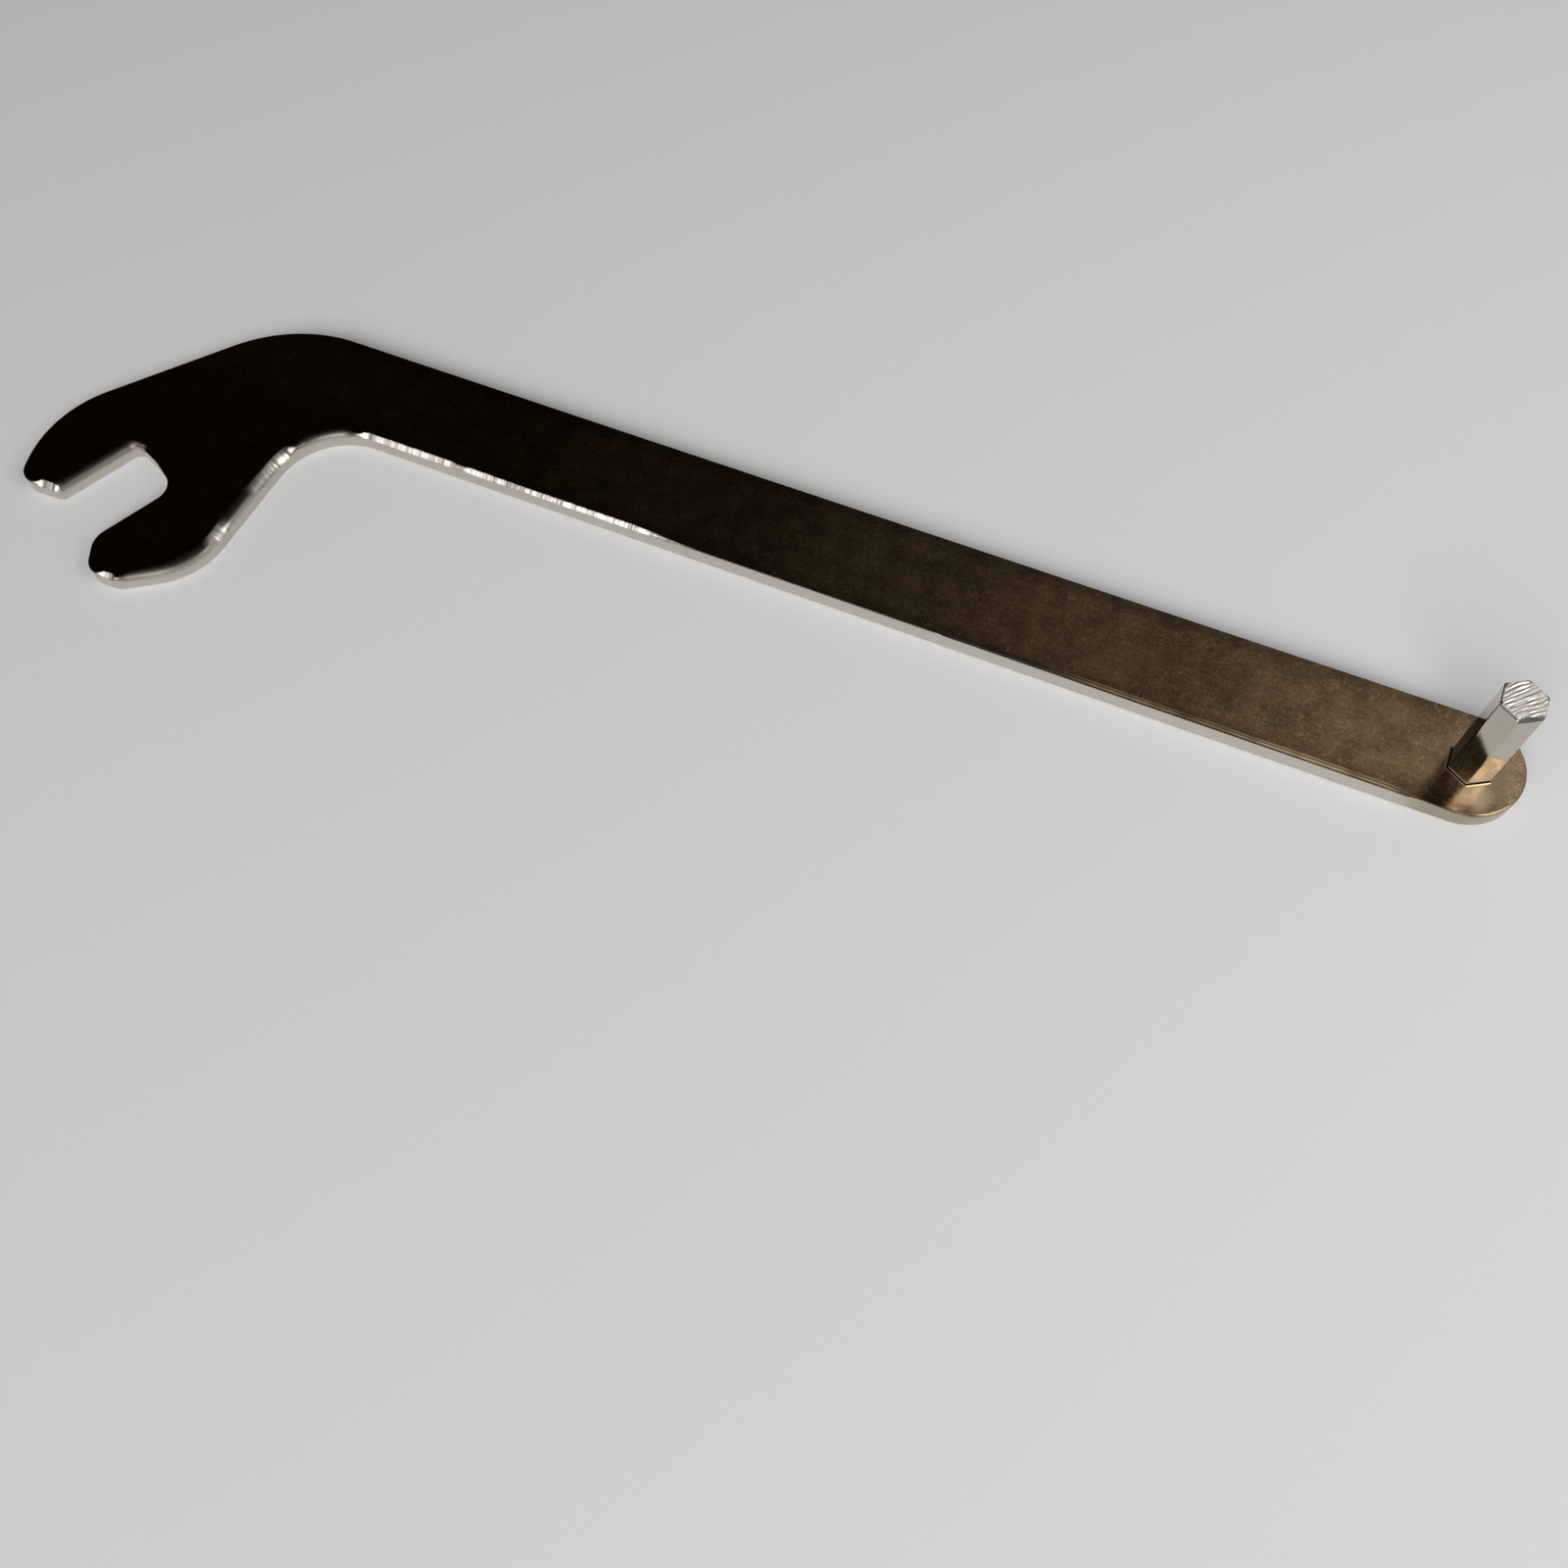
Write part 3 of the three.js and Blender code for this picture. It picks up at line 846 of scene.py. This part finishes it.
def lever_finish():
    material, nodes, shader, place = metal("lever_finish")
    bare = nodes.attribute("bare")
    worn = nodes.attribute("worn")
    blued = nodes.attribute("blued")
    clouds = nodes.noise(place, *CLOUDS)
    grain = nodes.noise(place, *GRAIN)

    # Brown face, lighter towards the tail partly as painted reflection, mottled, darker along the bar's rims
    # and finely scratched
    along = nodes.remap(nodes.split(place)["X"], plate_low.x / MM, plate_high.x / MM, smooth=False)
    aside = nodes.math("ABSOLUTE", nodes.math("SUBTRACT", nodes.split(place)["Y"], AXIS.y))
    mottle = nodes.math("MULTIPLY", nodes.remap(clouds, *CLOUD_SHADE), nodes.remap(grain, *GRAIN_SHADE))
    mottle = nodes.math("MULTIPLY", mottle, nodes.remap(aside, *RIM_SHADE))
    first_lines, second_lines = (scratches(nodes, place, degrees, shift) for degrees, shift in SCRATCH_SETS)
    mottle = nodes.math("ADD", mottle, nodes.math("MAXIMUM", first_lines, second_lines))
    flecks = nodes.remap(nodes.noise(place, *FLECKS), *FLECK_SHADE)
    mottle = nodes.math("ADD", mottle, flecks)
    face = nodes.vector("SCALE", nodes.ramp(along, FACE_AND_SHEEN_COLOURS), scale=mottle)

    # Heat tint, faded on the bar's side so that the face beside the stud stays darker as painted shade
    from_axis = nodes.vector("SUBTRACT", place, (AXIS.x, AXIS.y, PLATE_TOP))
    distance = nodes.vector("LENGTH", nodes.vector("MULTIPLY", from_axis, (1, 1, 0)))
    wander = nodes.math("MULTIPLY", nodes.math("SUBTRACT", clouds, NOISE_MIDDLE), HEAT_WANDER)
    heat = nodes.remap(nodes.math("ADD", distance, wander), *HEAT_REACH)
    # Painted shade: the tint fades on the bar's side of the stud, leaving the face there darker
    heat = nodes.math("MULTIPLY", heat, nodes.remap(nodes.split(from_axis)["X"], *HEAT_FADE_AS_SHADE))
    face = nodes.blend(nodes.math("MULTIPLY", heat, HEAT_SHARE), face, HEAT_COLOUR)
    # Painted reflection: a tan patch of light in front of the stud, thrown onto the face by the stud's lit
    # facet
    from_painted_glow = nodes.vector("MULTIPLY", nodes.vector("SUBTRACT", from_axis, PAINTED_GLOW_PLACE), PAINTED_GLOW_STRETCH)
    painted_glow = nodes.remap(nodes.vector("LENGTH", from_painted_glow), *PAINTED_GLOW_REACH)
    face = nodes.blend(nodes.math("MULTIPLY", painted_glow, PAINTED_GLOW_SHARE), face, PAINTED_GLOW_COLOUR)

    # Edges and walls, with painted golden glints on the edges and the burr
    face = nodes.blend(blued, face, BLUED_COLOUR)
    # Painted highlight: golden glints on the edges and the burr
    face = nodes.blend(nodes.attribute("gilt"), face, PAINTED_GLINT_COLOUR)
    wall = nodes.blend(nodes.remap(distance, *WARM_REACH), WALL_COLOUR, WARM_WALL_COLOUR)
    steel = nodes.blend(worn, wall, nodes.ramp(nodes.attribute("streak"), GROUND_COLOURS))
    nodes.set(shader.inputs["Base Color"], nodes.blend(bare, face, steel))

    heat_rough = nodes.math("MULTIPLY", heat, HEAT_ROUGHNESS)
    face_rough = nodes.math("ADD", nodes.remap(grain, *FACE_ROUGHNESS), heat_rough)
    face_rough = nodes.level(blued, face_rough, BLUED_FACE_ROUGHNESS)
    wall_rough = nodes.level(blued, WALL_ROUGHNESS, BLUED_WALL_ROUGHNESS)
    edge_rough = nodes.level(worn, wall_rough, GROUND_ROUGHNESS)
    nodes.set(shader.inputs["Roughness"], nodes.level(bare, face_rough, edge_rough))
    height = nodes.math("MULTIPLY", grain, nodes.math("SUBTRACT", 1.0, bare))
    add_bump(nodes, shader, height, *FACE_BUMP)
    return material


def stud_finish():
    material, nodes, shader, place = metal("stud_finish")
    sawn = nodes.attribute("sawn")
    drawn = nodes.noise(nodes.vector("MULTIPLY", place, DRAWN_STRETCH), *DRAWN)
    cut = nodes.blend(nodes.attribute("filed"), SAWN_COLOUR, FILED_COLOUR)
    nodes.set(shader.inputs["Base Color"], nodes.blend(sawn, nodes.ramp(drawn, DRAWN_COLOURS), cut))
    rough = nodes.level(sawn, nodes.remap(drawn, *DRAWN_ROUGHNESS), SAWN_ROUGHNESS)
    nodes.set(shader.inputs["Roughness"], rough)
    add_bump(nodes, shader, drawn, *DRAWN_BUMP)
    return material


def weld_finish():
    material, nodes, shader, place = metal("weld_finish")
    grain = nodes.noise(place, *WELD_GRAIN)
    nodes.set(shader.inputs["Base Color"], nodes.ramp(grain, WELD_COLOURS))
    nodes.set(shader.inputs["Roughness"], nodes.remap(grain, *WELD_ROUGHNESS))
    add_bump(nodes, shader, grain, *WELD_BUMP)
    return material


# Studio

FLOOR_HALF_SIZE = 500.0
FLOOR_DROP = 0.02  # the floor lies just below the tool
FLOOR_COLOUR = (0.77, 0.77, 0.775, 1)
FLOOR_ROUGHNESS = 0.6
FLOOR_SPECULAR = 0.2

# Lamps: the direction they stand in from their target, their distance, width and height, and their brightness
Lamp = namedtuple("Lamp", "name target towards distance width height brightness")
TAIL = Vector((AXIS.x, AXIS.y, PLATE_TOP))
MIDDLE = Vector((0.0, 0.0, PLATE_TOP))
LAMPS = (
    Lamp("right_lamp", TAIL, (0.68, -0.09, 0.73), 600.0, 370.0, 370.0, 2.7),
    Lamp("front_lamp", MIDDLE, (0.08, -0.76, 0.64), 1500.0, 1340.0, 1090.0, 3.5),
    Lamp("front_fill", MIDDLE, (-0.42, -0.57, 0.70), 1500.0, 1200.0, 1200.0, 0.08),
    Lamp("left_fill", MIDDLE, (-0.56, -0.63, 0.53), 1500.0, 760.0, 760.0, 0.9),
)
# A soft panel over the tail: discs one behind another, each with its size and brightness, so that the panel
# is brightest in its middle
PANEL_TOWARDS = (0.28, 0.42, 0.86)
PANEL_DISTANCE = 400.0
PANEL_STEP = 0.01  # a disc stands further off by this share of its size
PANEL_DISCS = ((200.0, 0.22), (280.0, 0.16), (480.0, 0.11), (680.0, 0.06), (960.0, 0.02))

# The room behind the lamps: dim overhead, and pale near the horizon
ROOM = (0.02, 0.0185, 0.016, 1)
HORIZON = (0.5, 0.5, 0.5, 1)
HORIZON_HEIGHTS = (0.55, 0.02)  # where the room's dark begins, and where it is fully pale


def camera():
    forward = CAMERA_FORWARD.normalized()
    level = forward.cross(Vector((0, 0, 1))).normalized()
    down = forward.cross(level)
    right = level * math.cos(CAMERA_ROLL) + down * math.sin(CAMERA_ROLL)
    down = down * math.cos(CAMERA_ROLL) - level * math.sin(CAMERA_ROLL)
    turn = Matrix((right, -down, -forward)).transposed().to_4x4()
    data = bpy.data.cameras.new("camera")
    data.sensor_width = SENSOR_MM
    data.lens = FOCAL_PIXELS * SENSOR_MM / IMAGE_PIXELS
    data.clip_start = CAMERA_NEAR * MM
    data.clip_end = CAMERA_FAR * MM
    view = bpy.data.objects.new("camera", data)
    place = Vector((AXIS.x, AXIS.y, 0)) + CAMERA_PLACE
    view.matrix_world = Matrix.Translation(place * MM) @ turn
    bpy.context.scene.collection.objects.link(view)
    bpy.context.scene.camera = view


def floor():
    size = FLOOR_HALF_SIZE * MM
    mesh = bpy.data.meshes.new("floor")
    corners = [(-size, -size, 0), (size, -size, 0), (size, size, 0), (-size, size, 0)]
    mesh.from_pydata(corners, [], [(0, 1, 2, 3)])
    table = bpy.data.objects.new("floor", mesh)
    table.location.z = -FLOOR_DROP * MM
    bpy.context.scene.collection.objects.link(table)
    material = bpy.data.materials.new("floor_finish")
    material.use_nodes = True
    shader = material.node_tree.nodes["Principled BSDF"]
    shader.inputs["Base Color"].default_value = FLOOR_COLOUR
    shader.inputs["Roughness"].default_value = FLOOR_ROUGHNESS
    shader.inputs["Specular IOR Level"].default_value = FLOOR_SPECULAR
    mesh.materials.append(material)


def disc_lamp(lamp):
    data = bpy.data.lights.new(lamp.name, "AREA")
    data.shape = "ELLIPSE"
    data.size = lamp.width * MM
    data.size_y = lamp.height * MM
    data.energy = math.pi * lamp.width * lamp.height * MM ** 2 * lamp.brightness
    source = bpy.data.objects.new(lamp.name, data)
    towards = Vector(lamp.towards).normalized()
    source.location = (lamp.target + towards * lamp.distance) * MM
    source.rotation_euler = towards.to_track_quat("Z", "Y").to_euler()
    source.visible_camera = False
    bpy.context.scene.collection.objects.link(source)


def lamps():
    for lamp in LAMPS:
        disc_lamp(lamp)
    for size, brightness in PANEL_DISCS:
        distance = PANEL_DISTANCE + size * PANEL_STEP
        disc_lamp(Lamp(f"panel_{size:.0f}", TAIL, PANEL_TOWARDS, distance, size, size, brightness))


def world():
    sky = bpy.data.worlds.new("studio")
    sky.use_nodes = True
    bpy.context.scene.world = sky
    nodes = Nodes(sky.node_tree)
    direction = nodes.add("ShaderNodeTexCoord").outputs["Generated"]
    low = nodes.remap(nodes.split(direction)["Z"], *HORIZON_HEIGHTS)
    nodes.set(sky.node_tree.nodes["Background"].inputs["Color"], nodes.blend(low, ROOM, HORIZON))


camera()
lever().data.materials.append(lever_finish())
stud().data.materials.append(stud_finish())
weld().data.materials.append(weld_finish())
floor()
lamps()
world()
bpy.context.scene.view_settings.view_transform = "Standard"
